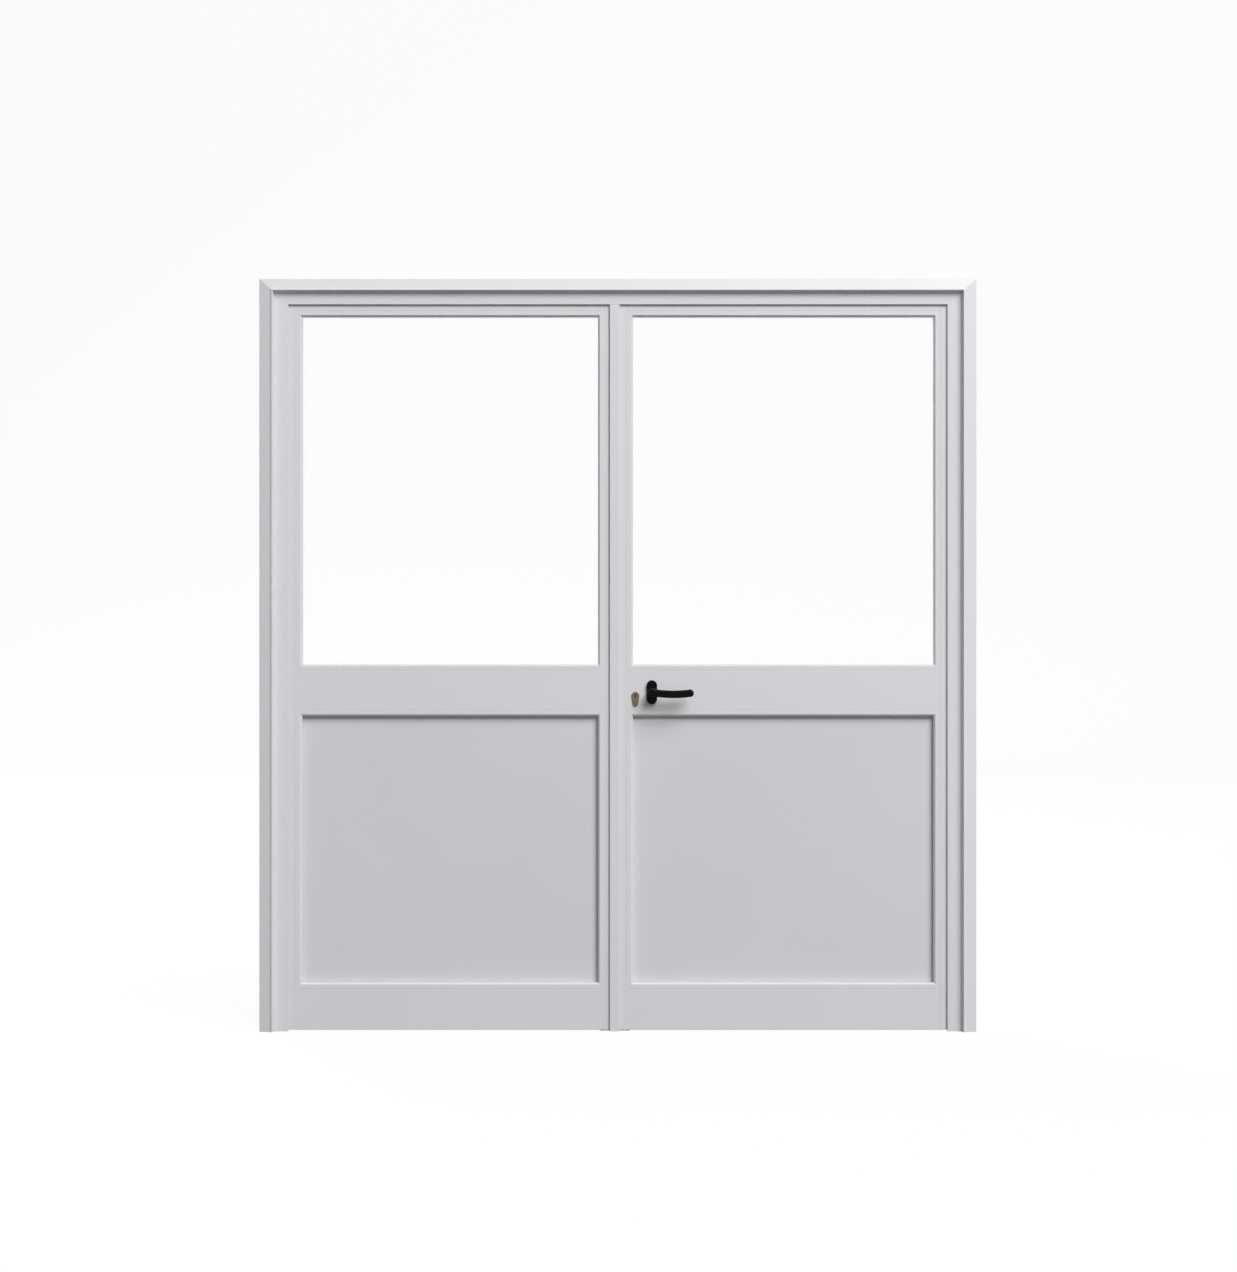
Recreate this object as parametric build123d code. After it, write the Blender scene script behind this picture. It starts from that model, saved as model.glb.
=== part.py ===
"""Half-glazed aluminium double door in its frame.

Millimetres, +Z up. The origin is on the floor, half way across the frame,
in the middle of the closed leaves' thickness. The front, with the stepped
frame face, looks along -Y. Both leaves open towards +Y.
"""
import math
import os

from build123d import *

# Overall frame
frame_width = 2000.0
frame_height = 2100.0

# Frame profile, seen in section: a sloping face, a rim, a splayed step back to a flat band, a stop lip
jamb_face = 36.0
face_rise = 12.0
face_slope_share = 0.78
rim_rise_share = 0.5
step_splay = 6.0
jamb_body = 62.0
jamb_stop = 80.0
head_face_share = 0.88
face_step = 20.0
stop_lip = 4.0
frame_wall = 2.0
frame_edge_round = 1.5
frame_back_reveal = 0.5

# Leaf thickness, and its room in the frame
leaf_depth = 40.0
leaf_gap = 4.5
floor_gap = 3.5
stop_gap = 3.5
seal_gap = 0.3

# Leaf profiles
leaf_wall = 2.0
leaf_edge_round = 1.0
hinge_stile = 31.5
left_meeting_stile = 21.5
right_meeting_stile = 26.5
rebate_lip = 12.0
rebate_lip_wall = 3.0
top_rail_height = 28.0
mid_rail_height = 111.5
bottom_rail_height = 114.5
lever_above_rail = 50.0
spigot_length = 40.0
spigot_wall = 4.0
spigot_gap = 0.2

# Glazing and infill
infill_depth = 16.0
pane_thickness = 4.0
infill_edge_gap = 5.0
gasket_thickness = 2.0
gasket_setback = 0.5
spacer_width = 6.0
spacer_inset = 2.0
setting_block_length = 100.0
setting_block_end_share = 0.2
bead_upright = 19.5
bead_level = 17.0
bead_wall = 1.5
bead_bevel = 5.0
bead_joint_round = 1.0

# Centre post
post_offset = -9.2
post_flange = 27.4
post_stem = 4.0
post_gap = 3.5
post_plate_length = 84.0
post_plate_width = 36.0
post_plate_wall = 2.5
post_plate_margin = 9.0
post_screw_radius = 2.5

# Stop gasket
stop_gasket_width = 8.0
stop_gasket_inset = 3.0
stop_gasket_round = 1.2

# Corner cleats
cleat_leg = 70.0
cleat_wall = 8.0
cleat_gap = 0.2

# Wall fixing holes in the jambs
fixing_hole_radius = 4.25
fixing_first = 250.0
fixing_top_margin = 260.0
fixing_count = 4

# Hinges
hinge_first = 230.0
hinge_top_margin = 270.0
hinge_count = 3
hinge_length = 100.0
hinge_barrel_radius = 7.0
hinge_pin_radius = 3.5
hinge_pin_gap = 0.05
hinge_axis_back = 8.5
hinge_plate = 26.0
hinge_plate_wall = 3.0
hinge_knuckle_gap = 0.4
hinge_pin_head = 3.0

# Lever, its spindle and the bolt that it drives
lever_across = 95.0
lever_height = 947.0
rose_width = 29.0
rose_height = 67.0
rose_thickness = 10.0
rose_edge_round = 3.0
lever_reach = 116.0
lever_hub_radius = 12.5
lever_grip_height = 21.0
lever_sag = 5.0
lever_tip_drop = 2.0
lever_root_round = 8.0
lever_depth = 14.0
lever_edge_round = 5.5
lever_neck_radius = 9.5
lever_projection = 55.0
lever_gap = 0.3
spindle_side = 8.0
spindle_gap = 0.05
spindle_hole_radius = 8.0

# Rack and pinion
gear_module = 1.5
pinion_teeth = 16
pressure_angle = 20.0
flank_steps = 4
rack_addendum_share = 0.8
gear_backlash = 0.25
pinion_width = 12.0
pinion_hub_radius = 9.0
running_gap = 0.05
rack_pitches = 9
lever_bolt_height = 12.0
lever_bolt_width = 14.0

# Lock case
case_start_gap = 0.4
case_length = 106.0
case_below = 36.0
case_above = 30.0
case_wall = 2.0
case_gap = 0.3
faceplate_height = 150.0
faceplate_width = 22.0
faceplate_wall = 2.0
bolt_rest_inset = 0.3
bolt_slot_gap = 0.3

# Cylinder and the dead bolt that its cam throws
cylinder_across = 49.0
cylinder_below_lever = 10.0
cylinder_radius = 8.5
cylinder_stem_radius = 5.0
cylinder_drop = 33.0
cylinder_proud = 4.0
plug_radius = 6.5
plug_setback = 1.5
keyway_width = 3.4
keyway_height = 9.0
keyway_depth = 12.0
cam_width = 8.0
cam_gap = 0.5
cam_pin_reach = 11.0
cam_pin_radius = 3.0
cam_turn = 70.0
cam_notch_gap = 0.6
cam_notch_depth = 6.5
escutcheon_margin = 2.5
escutcheon_tail = 3.5
escutcheon_wall = 3.0
escutcheon_round = 1.0
dead_bolt_height = 10.0
dead_bolt_width = 16.0
dead_bolt_rise = 1.0
dead_bolt_tail = 16.0

# Keep plate on the post
keep_height = 90.0
keep_wall = 1.5
keep_margin = 6.0

# Flush bolts of the left leaf
flush_rod_radius = 5.0
flush_rod_length = 320.0
flush_rod_gap = 0.3
flush_throw = 15.0
flush_plate_height = 150.0
flush_plate_width = 20.0
flush_tab_height = 14.0
flush_tab_width = 8.0
flush_slot_gap = 0.5
stile_cap_height = 12.0
stile_cap_gap = 0.2

# Shared
overrun = 5.0

# Worked-out places
half_width = frame_width / 2
leaf_front = -leaf_depth / 2
leaf_back = leaf_depth / 2
stop_back = leaf_front - stop_gap
stop_front = stop_back - stop_lip
frame_front = stop_front - face_step
frame_back = leaf_back + frame_back_reveal
head_body = jamb_body * head_face_share
head_stop = jamb_stop * head_face_share
leaf_top = frame_height - head_body - leaf_gap
top_rail_bottom = leaf_top - top_rail_height
mid_rail_bottom = lever_height - lever_above_rail
mid_rail_top = mid_rail_bottom + mid_rail_height
bottom_rail_top = floor_gap + bottom_rail_height
fixing_spacing = (frame_height - fixing_top_margin - fixing_first) / (fixing_count - 1)
hinge_spacing = (frame_height - hinge_top_margin - hinge_first) / (hinge_count - 1)
hinge_heights = [hinge_first + hinge_spacing * index for index in range(hinge_count)]
cylinder_height = lever_height - cylinder_below_lever
leaf_edge = half_width - jamb_body - leaf_gap
left_meeting_edge = post_offset - post_stem / 2 - post_gap
right_meeting_edge = post_offset + post_stem / 2 + post_gap
hinge_across = half_width - jamb_body - leaf_gap / 2
hinge_axis = leaf_back + hinge_axis_back
lip_front = leaf_back - rebate_lip_wall
infill_back = lip_front - gasket_thickness
infill_front = infill_back - infill_depth
bead_back = infill_front - gasket_thickness
pitch_radius = gear_module * pinion_teeth / 2
rack_line = lever_height + pitch_radius
case_start = right_meeting_edge + right_meeting_stile + case_start_gap
case_end = case_start + case_length
case_half_depth = lip_front - case_gap
dead_bolt_bottom = cylinder_height + cylinder_radius + dead_bolt_rise
bolt_rest = right_meeting_edge + bolt_rest_inset
cam_rest_lean = cam_turn / 2
flush_across = left_meeting_edge - left_meeting_stile / 2


def block(x0, x1, y0, y1, z0, z1):
    """A box between two corners."""
    corner = (Align.MIN, Align.MIN, Align.MIN)
    return Pos(x0, y0, z0) * Box(x1 - x0, y1 - y0, z1 - z0, align=corner)


def rod_along_y(radius, x, z, y0, y1):
    """A round bar along Y between two depths."""
    end = (Align.CENTER, Align.CENTER, Align.MIN)
    return Pos(x, y0, z) * Rot(X=-90) * Cylinder(radius, y1 - y0, align=end)


def rod_along_z(radius, x, y, z0, z1):
    """A round bar along Z between two heights."""
    end = (Align.CENTER, Align.CENTER, Align.MIN)
    return Pos(x, y, z0) * Cylinder(radius, z1 - z0, align=end)


def face_of(points):
    """A flat face inside a closed outline."""
    return make_face(Polyline(*points, close=True))


def upright(section, z0, z1):
    """Extrudes a section drawn in X and Y between two heights."""
    return Pos(0, 0, z0) * extrude(section, z1 - z0, dir=(0, 0, 1))


def level(section, x0, x1):
    """Extrudes a section drawn in Y and Z between two places across."""
    return extrude(Plane.YZ.offset(x0) * section, x1 - x0, dir=(1, 0, 0))


def facing(outline, y0, y1):
    """Extrudes an outline drawn in X and Z between two depths."""
    return extrude(Plane.XZ.offset(-y1) * outline, y1 - y0, dir=(0, -1, 0))


def near_corners(section, corners, radius):
    """Rounds the corners of a section that lie at the given points."""
    picked = [
        vertex
        for vertex in section.vertices()
        if any((vertex.center() - Vector(*corner)).length < radius / 2 for corner in corners)
    ]
    return fillet(picked, radius)


def sloping_face(face, back):
    """The frame profile's front part: a face that slopes forward and rolls up to a rim."""
    outer = (0, frame_front + face_rise)
    knee = (face * face_slope_share, frame_front + face_rise * rim_rise_share)
    rim = (face, frame_front)
    slope = Line(outer, knee)
    roll = TangentArc(knee, rim, tangent=(knee[0], knee[1] - outer[1]))
    foot = (face + step_splay, stop_front)
    return make_face([slope, roll, Polyline(rim, foot, (foot[0], back), (0, back), outer)])


def frame_section(face, body, stop):
    """Frame profile: X runs from the outer edge inwards, Y to the back."""
    band = face_of(
        [
            (0, stop_front),
            (stop, stop_front),
            (stop, stop_back),
            (body, stop_back),
            (body, frame_back),
            (0, frame_back),
        ]
    )
    outline = sloping_face(face, stop_back) + band
    rounded = [(0, frame_front + face_rise), (face, frame_front), (stop, stop_front)]
    outline = near_corners(outline, rounded, frame_edge_round)
    front_room = offset(sloping_face(face, stop_front + frame_wall), -frame_wall)
    back_room = face_of(
        [
            (frame_wall, stop_front + frame_wall),
            (body - frame_wall, stop_front + frame_wall),
            (body - frame_wall, frame_back - frame_wall),
            (frame_wall, frame_back - frame_wall),
        ]
    )
    return outline - front_room - back_room


def mitre_wedge(above):
    """What lies above or below the mitre line at the left upper corner."""
    reach = 1 + overrun / jamb_stop
    outer = (-half_width, frame_height)
    inner = (-half_width + jamb_stop * reach, frame_height - head_stop * reach)
    third = (inner[0], outer[1]) if above else (outer[0], inner[1])
    wedge = face_of([outer, inner, third])
    return facing(wedge, frame_front - overrun, frame_back + overrun)


def make_left_jamb():
    """Left jamb, mitred at its top and drilled for the wall fixings."""
    section = Pos(-half_width, 0) * frame_section(jamb_face, jamb_body, jamb_stop)
    jamb = upright(section, 0, frame_height) - mitre_wedge(above=True)
    hole_depth = (stop_front + frame_wall + frame_back) / 2
    for index in range(fixing_count):
        height = fixing_first + index * fixing_spacing
        hole = Rot(Y=90) * Cylinder(fixing_hole_radius, jamb_body * 2)
        jamb -= Pos(-half_width + jamb_body / 2, hole_depth, height) * hole
    return jamb


def make_head():
    """Head of the frame, mitred at both ends, with the flush bolt's hole."""
    flat = frame_section(jamb_face * head_face_share, head_body, head_stop)
    section = Pos(0, frame_height) * Rot(Z=-90) * flat
    head = level(section, -half_width, half_width)
    wedge = mitre_wedge(above=False)
    head -= [wedge, wedge.mirror(Plane.YZ)]
    hole_radius = flush_rod_radius + flush_rod_gap
    hole = rod_along_z(hole_radius, flush_across, 0, leaf_top, frame_height - head_body + frame_wall * 2)
    return head - hole


def make_cleats():
    """Angle cleats inside the two mitres, against the frame's outer walls."""
    inset = frame_wall + cleat_gap
    left = -half_width + inset
    top = frame_height - inset
    outline = face_of(
        [
            (left, top),
            (left + cleat_leg, top),
            (left + cleat_leg, top - cleat_wall),
            (left + cleat_wall, top - cleat_wall),
            (left + cleat_wall, top - cleat_leg),
            (left, top - cleat_leg),
        ]
    )
    cleat = facing(outline, stop_front + inset, frame_back - inset)
    return [cleat, cleat.mirror(Plane.YZ)]


def make_post():
    """Centre post: a T-bar whose flange lies level with the frame's band."""
    half_flange = post_flange / 2
    half_stem = post_stem / 2
    section = face_of(
        [
            (-half_flange, stop_front),
            (half_flange, stop_front),
            (half_flange, stop_back),
            (half_stem, stop_back),
            (half_stem, frame_back),
            (-half_stem, frame_back),
            (-half_stem, stop_back),
            (-half_flange, stop_back),
        ]
    )
    front = [(-half_flange, stop_front), (half_flange, stop_front)]
    section = Pos(post_offset, 0) * near_corners(section, front, frame_edge_round)
    post = upright(section, 0, frame_height - head_stop)
    stem_top = upright(
        Pos(post_offset, (stop_back + frame_back) / 2) * Rectangle(post_stem, frame_back - stop_back),
        frame_height - head_stop,
        frame_height - head_body - post_plate_wall,
    )
    x0, x1 = post_offset - post_stem, post_offset + post_stem
    foot = block(x0, x1, stop_back, frame_back, 0, post_plate_wall)
    return post + stem_top - foot - bolt_slots(x0, x1)


def bolt_slots(x0, x1):
    """Room for both bolts to pass between two places across."""
    half_lever = lever_bolt_width / 2 + bolt_slot_gap
    half_dead = dead_bolt_width / 2 + bolt_slot_gap
    lever_bottom, lever_top = lever_bolt_span()
    dead_top = dead_bolt_bottom + dead_bolt_height
    spans = [(half_lever, lever_bottom, lever_top), (half_dead, dead_bolt_bottom, dead_top)]
    return [
        block(x0, x1, -half, half, bottom - bolt_slot_gap, top + bolt_slot_gap)
        for half, bottom, top in spans
    ]


def lever_bolt_span():
    """Lowest and highest places of the lever bolt's plain bar."""
    bottom = rack_line + gear_module + gear_backlash
    return bottom, bottom + lever_bolt_height


def post_plate(z0):
    """A flat plate that holds one end of the post's stem, with two screw holes."""
    plate = Rectangle(post_plate_length, post_plate_width)
    screw_spacing = post_plate_length - post_plate_margin * 2
    plate -= GridLocations(screw_spacing, 0, 2, 1) * Circle(post_screw_radius)
    return upright(Pos(post_offset, 0) * plate, z0, z0 + post_plate_wall)


def make_post_plates():
    """Floor plate and head plate of the post, each with a hole that a flush bolt goes into."""
    head_plate_bottom = frame_height - head_body - post_plate_wall
    hole = rod_along_z(flush_rod_radius + flush_rod_gap, flush_across, 0, -overrun, frame_height)
    return [post_plate(z0) - hole for z0 in (0, head_plate_bottom)]


def make_bolt_keep():
    """Keep plate on the left side of the post's stem, slotted for both bolts."""
    side = post_offset - post_stem / 2
    _, lever_top = lever_bolt_span()
    middle = (dead_bolt_bottom + lever_top) / 2
    half_width_of_keep = dead_bolt_width / 2 + keep_margin
    outline = Pos(0, middle) * RectangleRounded(half_width_of_keep * 2, keep_height, keep_margin)
    plate = extrude(Plane.YZ.offset(side - keep_wall) * outline, keep_wall)
    return plate - bolt_slots(side - keep_wall * 2, side + keep_wall)


def stop_gasket_section():
    """Bulb gasket: X is its width from 0, Y its depth from the stop lip to just off the leaf."""
    depth = stop_gap - seal_gap
    section = Pos(stop_gasket_width / 2, depth / 2) * Rectangle(stop_gasket_width, depth)
    tip = [(0, depth), (stop_gasket_width, depth)]
    return near_corners(section, tip, stop_gasket_round)


def make_frame_gasket():
    """Stop gaskets on both jambs and, either side of the post's stem, on the head."""
    across = -half_width + jamb_stop - stop_gasket_inset - stop_gasket_width
    below = frame_height - head_stop + stop_gasket_inset
    side = upright(Pos(across, stop_back) * stop_gasket_section(), 0, below)
    end = half_width - jamb_stop + stop_gasket_inset + stop_gasket_width
    turned = Pos(stop_back, below) * Rot(Z=90) * mirror(stop_gasket_section(), Plane.XZ)
    half_gap = post_stem / 2 + seal_gap
    tops = [level(turned, -end, post_offset - half_gap), level(turned, post_offset + half_gap, end)]
    return [side, side.mirror(Plane.YZ)] + tops


def make_post_gasket():
    """Stop gaskets on the back of the post's flange, one for each leaf."""
    room = (post_flange - post_stem) / 2
    width = room - post_gap
    depth = stop_gap - seal_gap
    strip = Rectangle(width, depth)
    offset = post_flange / 2 - width / 2
    height = frame_height - head_stop
    return [
        upright(Pos(post_offset + side * offset, stop_back + depth / 2) * strip, floor_gap, height)
        for side in (-1, 1)
    ]


class Leaf:
    """Places of one leaf across the door: its edges, and the lines where its tubes end."""

    def __init__(self, name, low_edge, low_stile, high_edge, high_stile):
        self.name = name
        self.low_edge = low_edge
        self.high_edge = high_edge
        self.low_line = low_edge + low_stile
        self.high_line = high_edge - high_stile


left_leaf = Leaf("left", -leaf_edge, hinge_stile, left_meeting_edge, left_meeting_stile)
right_leaf = Leaf("right", right_meeting_edge, right_meeting_stile, leaf_edge, hinge_stile)
rail_spans = {
    "top_rail": (top_rail_bottom, leaf_top),
    "mid_rail": (mid_rail_bottom, mid_rail_top),
    "bottom_rail": (floor_gap, bottom_rail_top),
}
infill_spans = {
    "glass": (mid_rail_top, top_rail_bottom),
    "panel": (bottom_rail_top, mid_rail_bottom),
}


def tube_section(width):
    """Leaf tube: X from 0 to its width, Y over the leaf's thickness, open chamber inside."""
    outline = Pos(width / 2, 0) * Rectangle(width, leaf_depth)
    outline = fillet(outline.vertices(), leaf_edge_round)
    chamber = Pos(width / 2, 0) * Rectangle(width - leaf_wall * 2, leaf_depth - leaf_wall * 2)
    return outline - chamber


def lip_section():
    """Rebate lip at the back of a tube, X from 0 outwards, rooted in the tube's wall."""
    return Pos(rebate_lip / 2, lip_front + rebate_lip_wall / 2) * Rectangle(rebate_lip, rebate_lip_wall)


def lip_root():
    """What fills the tube's rounded back edge under its lip."""
    return Pos(-leaf_wall / 2, lip_front + rebate_lip_wall / 2) * Rectangle(leaf_wall, rebate_lip_wall)


def stile_section(width):
    """Stile: a tube with its rebate lip on the side away from the leaf's edge."""
    return tube_section(width) + Pos(width, 0) * (lip_section() + lip_root())


def make_stiles(leaf):
    """Both stiles of a leaf, the one at the lower X first."""
    low = Pos(leaf.low_edge, 0) * stile_section(leaf.low_line - leaf.low_edge)
    high = Pos(leaf.high_edge, 0) * mirror(stile_section(leaf.high_edge - leaf.high_line), Plane.YZ)
    return [upright(section, floor_gap, leaf_top) for section in (low, high)]


def make_rail(leaf, rail):
    """A rail between the stiles, coped at its ends round the stiles' lips."""
    bottom, top = rail_spans[rail]
    section = tube_section(top - bottom)
    if rail != "top_rail":
        section += Pos(top - bottom, 0) * (lip_section() + lip_root())
    if rail != "bottom_rail":
        section += mirror(lip_section() + lip_root(), Plane.YZ)
    turned = Pos(0, bottom) * Rot(Z=90) * mirror(section, Plane.XZ)
    body = level(turned, leaf.low_line, leaf.high_line)
    z0 = bottom - rebate_lip - overrun
    z1 = top + rebate_lip + overrun
    for x0 in (leaf.low_line, leaf.high_line - rebate_lip):
        body -= block(x0, x0 + rebate_lip, lip_front, leaf_back, z0, z1)
    return body


def make_spigots(leaf):
    """Open blocks inside the rail ends that are screwed to the stiles."""
    solids = []
    for bottom, top in rail_spans.values():
        inset = leaf_wall + spigot_gap
        height = top - bottom - inset * 2
        depth = lip_front - leaf_front - leaf_wall - spigot_gap * 2
        middle = leaf_front + leaf_wall + spigot_gap + depth / 2
        frame = Rectangle(depth, height) - Rectangle(depth - spigot_wall * 2, height - spigot_wall * 2)
        section = Pos(middle, (bottom + top) / 2) * frame
        for x0 in (leaf.low_line, leaf.high_line - spigot_length):
            if leaf is right_leaf and bottom == mid_rail_bottom and x0 == leaf.low_line:
                continue
            solids.append(level(section, x0, x0 + spigot_length))
    return solids


def infill_face(leaf, infill, inset):
    """The infill's rectangle in X and Z, drawn in from the tubes by an inset."""
    bottom, top = infill_spans[infill]
    width = leaf.high_line - leaf.low_line - inset * 2
    height = top - bottom - inset * 2
    return Pos((leaf.low_line + leaf.high_line) / 2, (bottom + top) / 2) * Rectangle(width, height)


def make_glass(leaf):
    """Double glazing: a front and a back pane."""
    pane = infill_face(leaf, "glass", infill_edge_gap)
    front = facing(pane, infill_front, infill_front + pane_thickness)
    back = facing(pane, infill_back - pane_thickness, infill_back)
    return [front, back]


def make_spacer(leaf):
    """Spacer frame between the two panes."""
    inset = infill_edge_gap + spacer_inset
    ring = infill_face(leaf, "glass", inset) - infill_face(leaf, "glass", inset + spacer_width)
    return facing(ring, infill_front + pane_thickness, infill_back - pane_thickness)


def make_panel(leaf):
    """Lower infill panel."""
    return facing(infill_face(leaf, "panel", infill_edge_gap), infill_front, infill_back)


def make_infill_gaskets(leaf):
    """Gaskets in front of and behind both infills."""
    solids = []
    inner = rebate_lip - gasket_setback
    for infill in infill_spans:
        ring = infill_face(leaf, infill, infill_edge_gap) - infill_face(leaf, infill, inner)
        solids.append(facing(ring, bead_back, infill_front))
        solids.append(facing(ring, infill_back, lip_front))
    return solids


def make_setting_blocks(leaf):
    """Blocks under both infills that carry their weight to the rails."""
    solids = []
    span = leaf.high_line - leaf.low_line
    for bottom, _ in infill_spans.values():
        for share in (setting_block_end_share, 1 - setting_block_end_share):
            x0 = leaf.low_line + span * share - setting_block_length / 2
            x1 = x0 + setting_block_length
            solids.append(block(x0, x1, infill_front, infill_back, bottom, bottom + infill_edge_gap))
    return solids


def bead_section(width):
    """Snap-in bead: X from the tube inwards, Y from its face to its gasket, bevelled and hollow."""
    outline = face_of(
        [
            (0, leaf_front),
            (width - bead_bevel, leaf_front),
            (width, leaf_front + bead_bevel),
            (width, bead_back),
            (0, bead_back),
        ]
    )
    room = offset(outline, -bead_wall)
    return near_corners(outline, [(0, leaf_front)], bead_joint_round) - room


def make_beads(leaf, infill):
    """Four beads round an infill, mitred where their bevels meet."""
    bottom, top = infill_spans[infill]
    lower = Pos(0, bottom) * Rot(Z=90) * mirror(bead_section(bead_level), Plane.XZ)
    upper = Pos(0, top) * Rot(Z=-90) * bead_section(bead_level)
    low = Pos(leaf.low_line, 0) * bead_section(bead_upright)
    high = Pos(leaf.high_line, 0) * mirror(bead_section(bead_upright), Plane.YZ)
    bars = [
        level(lower, leaf.low_line, leaf.high_line),
        upright(high, bottom, top),
        level(upper, leaf.low_line, leaf.high_line),
        upright(low, bottom, top),
    ]
    x0, x1 = leaf.low_line + bead_upright, leaf.high_line - bead_upright
    z0, z1 = bottom + bead_level, top - bead_level
    run = max(bead_upright, bead_level)
    inner = [(x0, z0), (x1, z0), (x1, z1), (x0, z1)]
    outer = [(x0 - run, z0 - run), (x1 + run, z0 - run), (x1 + run, z1 + run), (x0 - run, z1 + run)]
    beads = []
    for side, bar in enumerate(bars):
        after = (side + 1) % len(bars)
        room = face_of([inner[side], outer[side], outer[after], inner[after]])
        beads.append(bar & facing(room, leaf_front - overrun, bead_back + overrun))
    return beads


def knuckle_spans(height):
    """Heights of the lower, middle and upper knuckles of one hinge."""
    bottom = height - hinge_length / 2
    third = hinge_length / 3
    return [
        (bottom, bottom + third - hinge_knuckle_gap),
        (bottom + third, bottom + third * 2),
        (bottom + third * 2 + hinge_knuckle_gap, bottom + hinge_length),
    ]


def hinge_half(height, plate_low, side, knuckles):
    """One half of a left-hand hinge: a plate on one side of the axis, and some of its knuckles."""
    spans = knuckle_spans(height)
    plate_depth = plate_low + hinge_plate_wall / 2 - hinge_axis
    plate = Pos(side * hinge_plate / 2, plate_depth) * Rectangle(hinge_plate, hinge_plate_wall)
    half = upright(plate, spans[0][0], spans[2][1])
    clear = Circle(hinge_barrel_radius + hinge_knuckle_gap)
    for index, (z0, z1) in enumerate(spans):
        if index in knuckles:
            half += upright(Circle(hinge_barrel_radius), z0, z1)
        else:
            half -= upright(clear, z0 - hinge_knuckle_gap, z1 + hinge_knuckle_gap)
    bore = Circle(hinge_pin_radius + hinge_pin_gap)
    half -= upright(bore, spans[0][0] - overrun, spans[2][1] + overrun)
    return Pos(-hinge_across, hinge_axis, 0) * half


def make_frame_hinge_leaves():
    """Frame halves of the hinges, with the outer knuckles."""
    left = [hinge_half(height, frame_back, -1, (0, 2)) for height in hinge_heights]
    return left + [half.mirror(Plane.YZ) for half in left]


def make_leaf_hinge_leaves(leaf):
    """Leaf halves of one leaf's hinges, with the middle knuckle."""
    halves = [hinge_half(height, leaf_back, 1, (1,)) for height in hinge_heights]
    return halves if leaf is left_leaf else [half.mirror(Plane.YZ) for half in halves]


def make_hinge_pins():
    """Headed pins of all hinges."""
    half_length = hinge_length / 2
    profile = face_of(
        [
            (0, -half_length - hinge_pin_head),
            (hinge_pin_radius + hinge_pin_head / 2, -half_length - hinge_pin_head),
            (hinge_pin_radius + hinge_pin_head / 2, -half_length),
            (hinge_pin_radius, -half_length),
            (hinge_pin_radius, half_length),
            (hinge_pin_radius + hinge_pin_head / 2, half_length),
            (hinge_pin_radius + hinge_pin_head / 2, half_length + hinge_pin_head),
            (0, half_length + hinge_pin_head),
        ]
    )
    pin = revolve(Plane.XZ * profile, Axis.Z)
    return [
        Pos(side * hinge_across, hinge_axis, height) * pin
        for side in (-1, 1)
        for height in hinge_heights
    ]


def pinion_outline():
    """Involute pinion with one tooth pointing straight up."""
    base = pitch_radius * math.cos(math.radians(pressure_angle))
    root = pitch_radius - gear_module * rack_addendum_share - gear_backlash
    tip = pitch_radius + gear_module

    def roll(radius):
        turn = math.acos(base / radius)
        return math.tan(turn) - turn

    half_tooth = math.pi / pinion_teeth / 2 - gear_backlash / pitch_radius / 2 + roll(pitch_radius)
    radii = [base + (tip - base) * step / flank_steps for step in range(flank_steps + 1)]
    flank = [(root, half_tooth)] + [(radius, half_tooth - roll(radius)) for radius in radii]
    points = []
    for tooth in range(pinion_teeth):
        middle = math.pi / 2 + tooth * math.tau / pinion_teeth
        rising = [(radius, middle - angle) for radius, angle in flank]
        falling = [(radius, middle + angle) for radius, angle in reversed(flank)]
        points += [(r * math.cos(a), r * math.sin(a)) for r, a in rising + falling]
    return face_of(points)


def make_pinion():
    """Pinion with a hub on each side and a square hole for the spindle."""
    half = pinion_width / 2
    place = Pos(lever_across, lever_height)
    gear = facing(place * pinion_outline(), -half, half)
    hub = facing(place * Circle(pinion_hub_radius), -case_half_depth, case_half_depth)
    square = place * Rectangle(spindle_side + spindle_gap * 2, spindle_side + spindle_gap * 2)
    return gear + hub - facing(square, -leaf_depth, leaf_depth)


def make_spindle():
    """Square bar through both levers and the pinion."""
    reach = leaf_depth / 2 + lever_projection - lever_depth / 2
    return facing(Pos(lever_across, lever_height) * Rectangle(spindle_side, spindle_side), -reach, reach)


def make_front_lever():
    """Front lever: a bowed, rounded grip on a neck that turns in the rose."""
    tip_radius = lever_grip_height / 2
    tip_across = lever_reach - tip_radius
    bow = ThreePointArc((0, 0), (tip_across / 2, -lever_sag), (tip_across, -lever_tip_drop))
    grip = trace(bow, lever_grip_height) + Pos(tip_across, -lever_tip_drop) * Circle(tip_radius)
    outline = grip + Circle(lever_hub_radius)
    roots = [vertex for vertex in outline.vertices() if vertex.X < lever_hub_radius]
    outline = Pos(lever_across, lever_height) * fillet(roots, lever_root_round)
    bar_front = leaf_front - lever_projection
    bar = facing(outline, bar_front, bar_front + lever_depth)
    rims = bar.faces().sort_by(Axis.Y)[0].edges() + bar.faces().sort_by(Axis.Y)[-1].edges()
    bar = fillet(rims, lever_edge_round)
    neck_start = bar_front + lever_depth / 2
    neck_end = leaf_front - rose_thickness / 2
    neck = rod_along_y(lever_neck_radius, lever_across, lever_height, neck_start, neck_end)
    side = spindle_side + spindle_gap * 2
    socket = Pos(lever_across, lever_height) * Rectangle(side, side)
    return bar + neck - facing(socket, neck_start, leaf_front)


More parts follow.
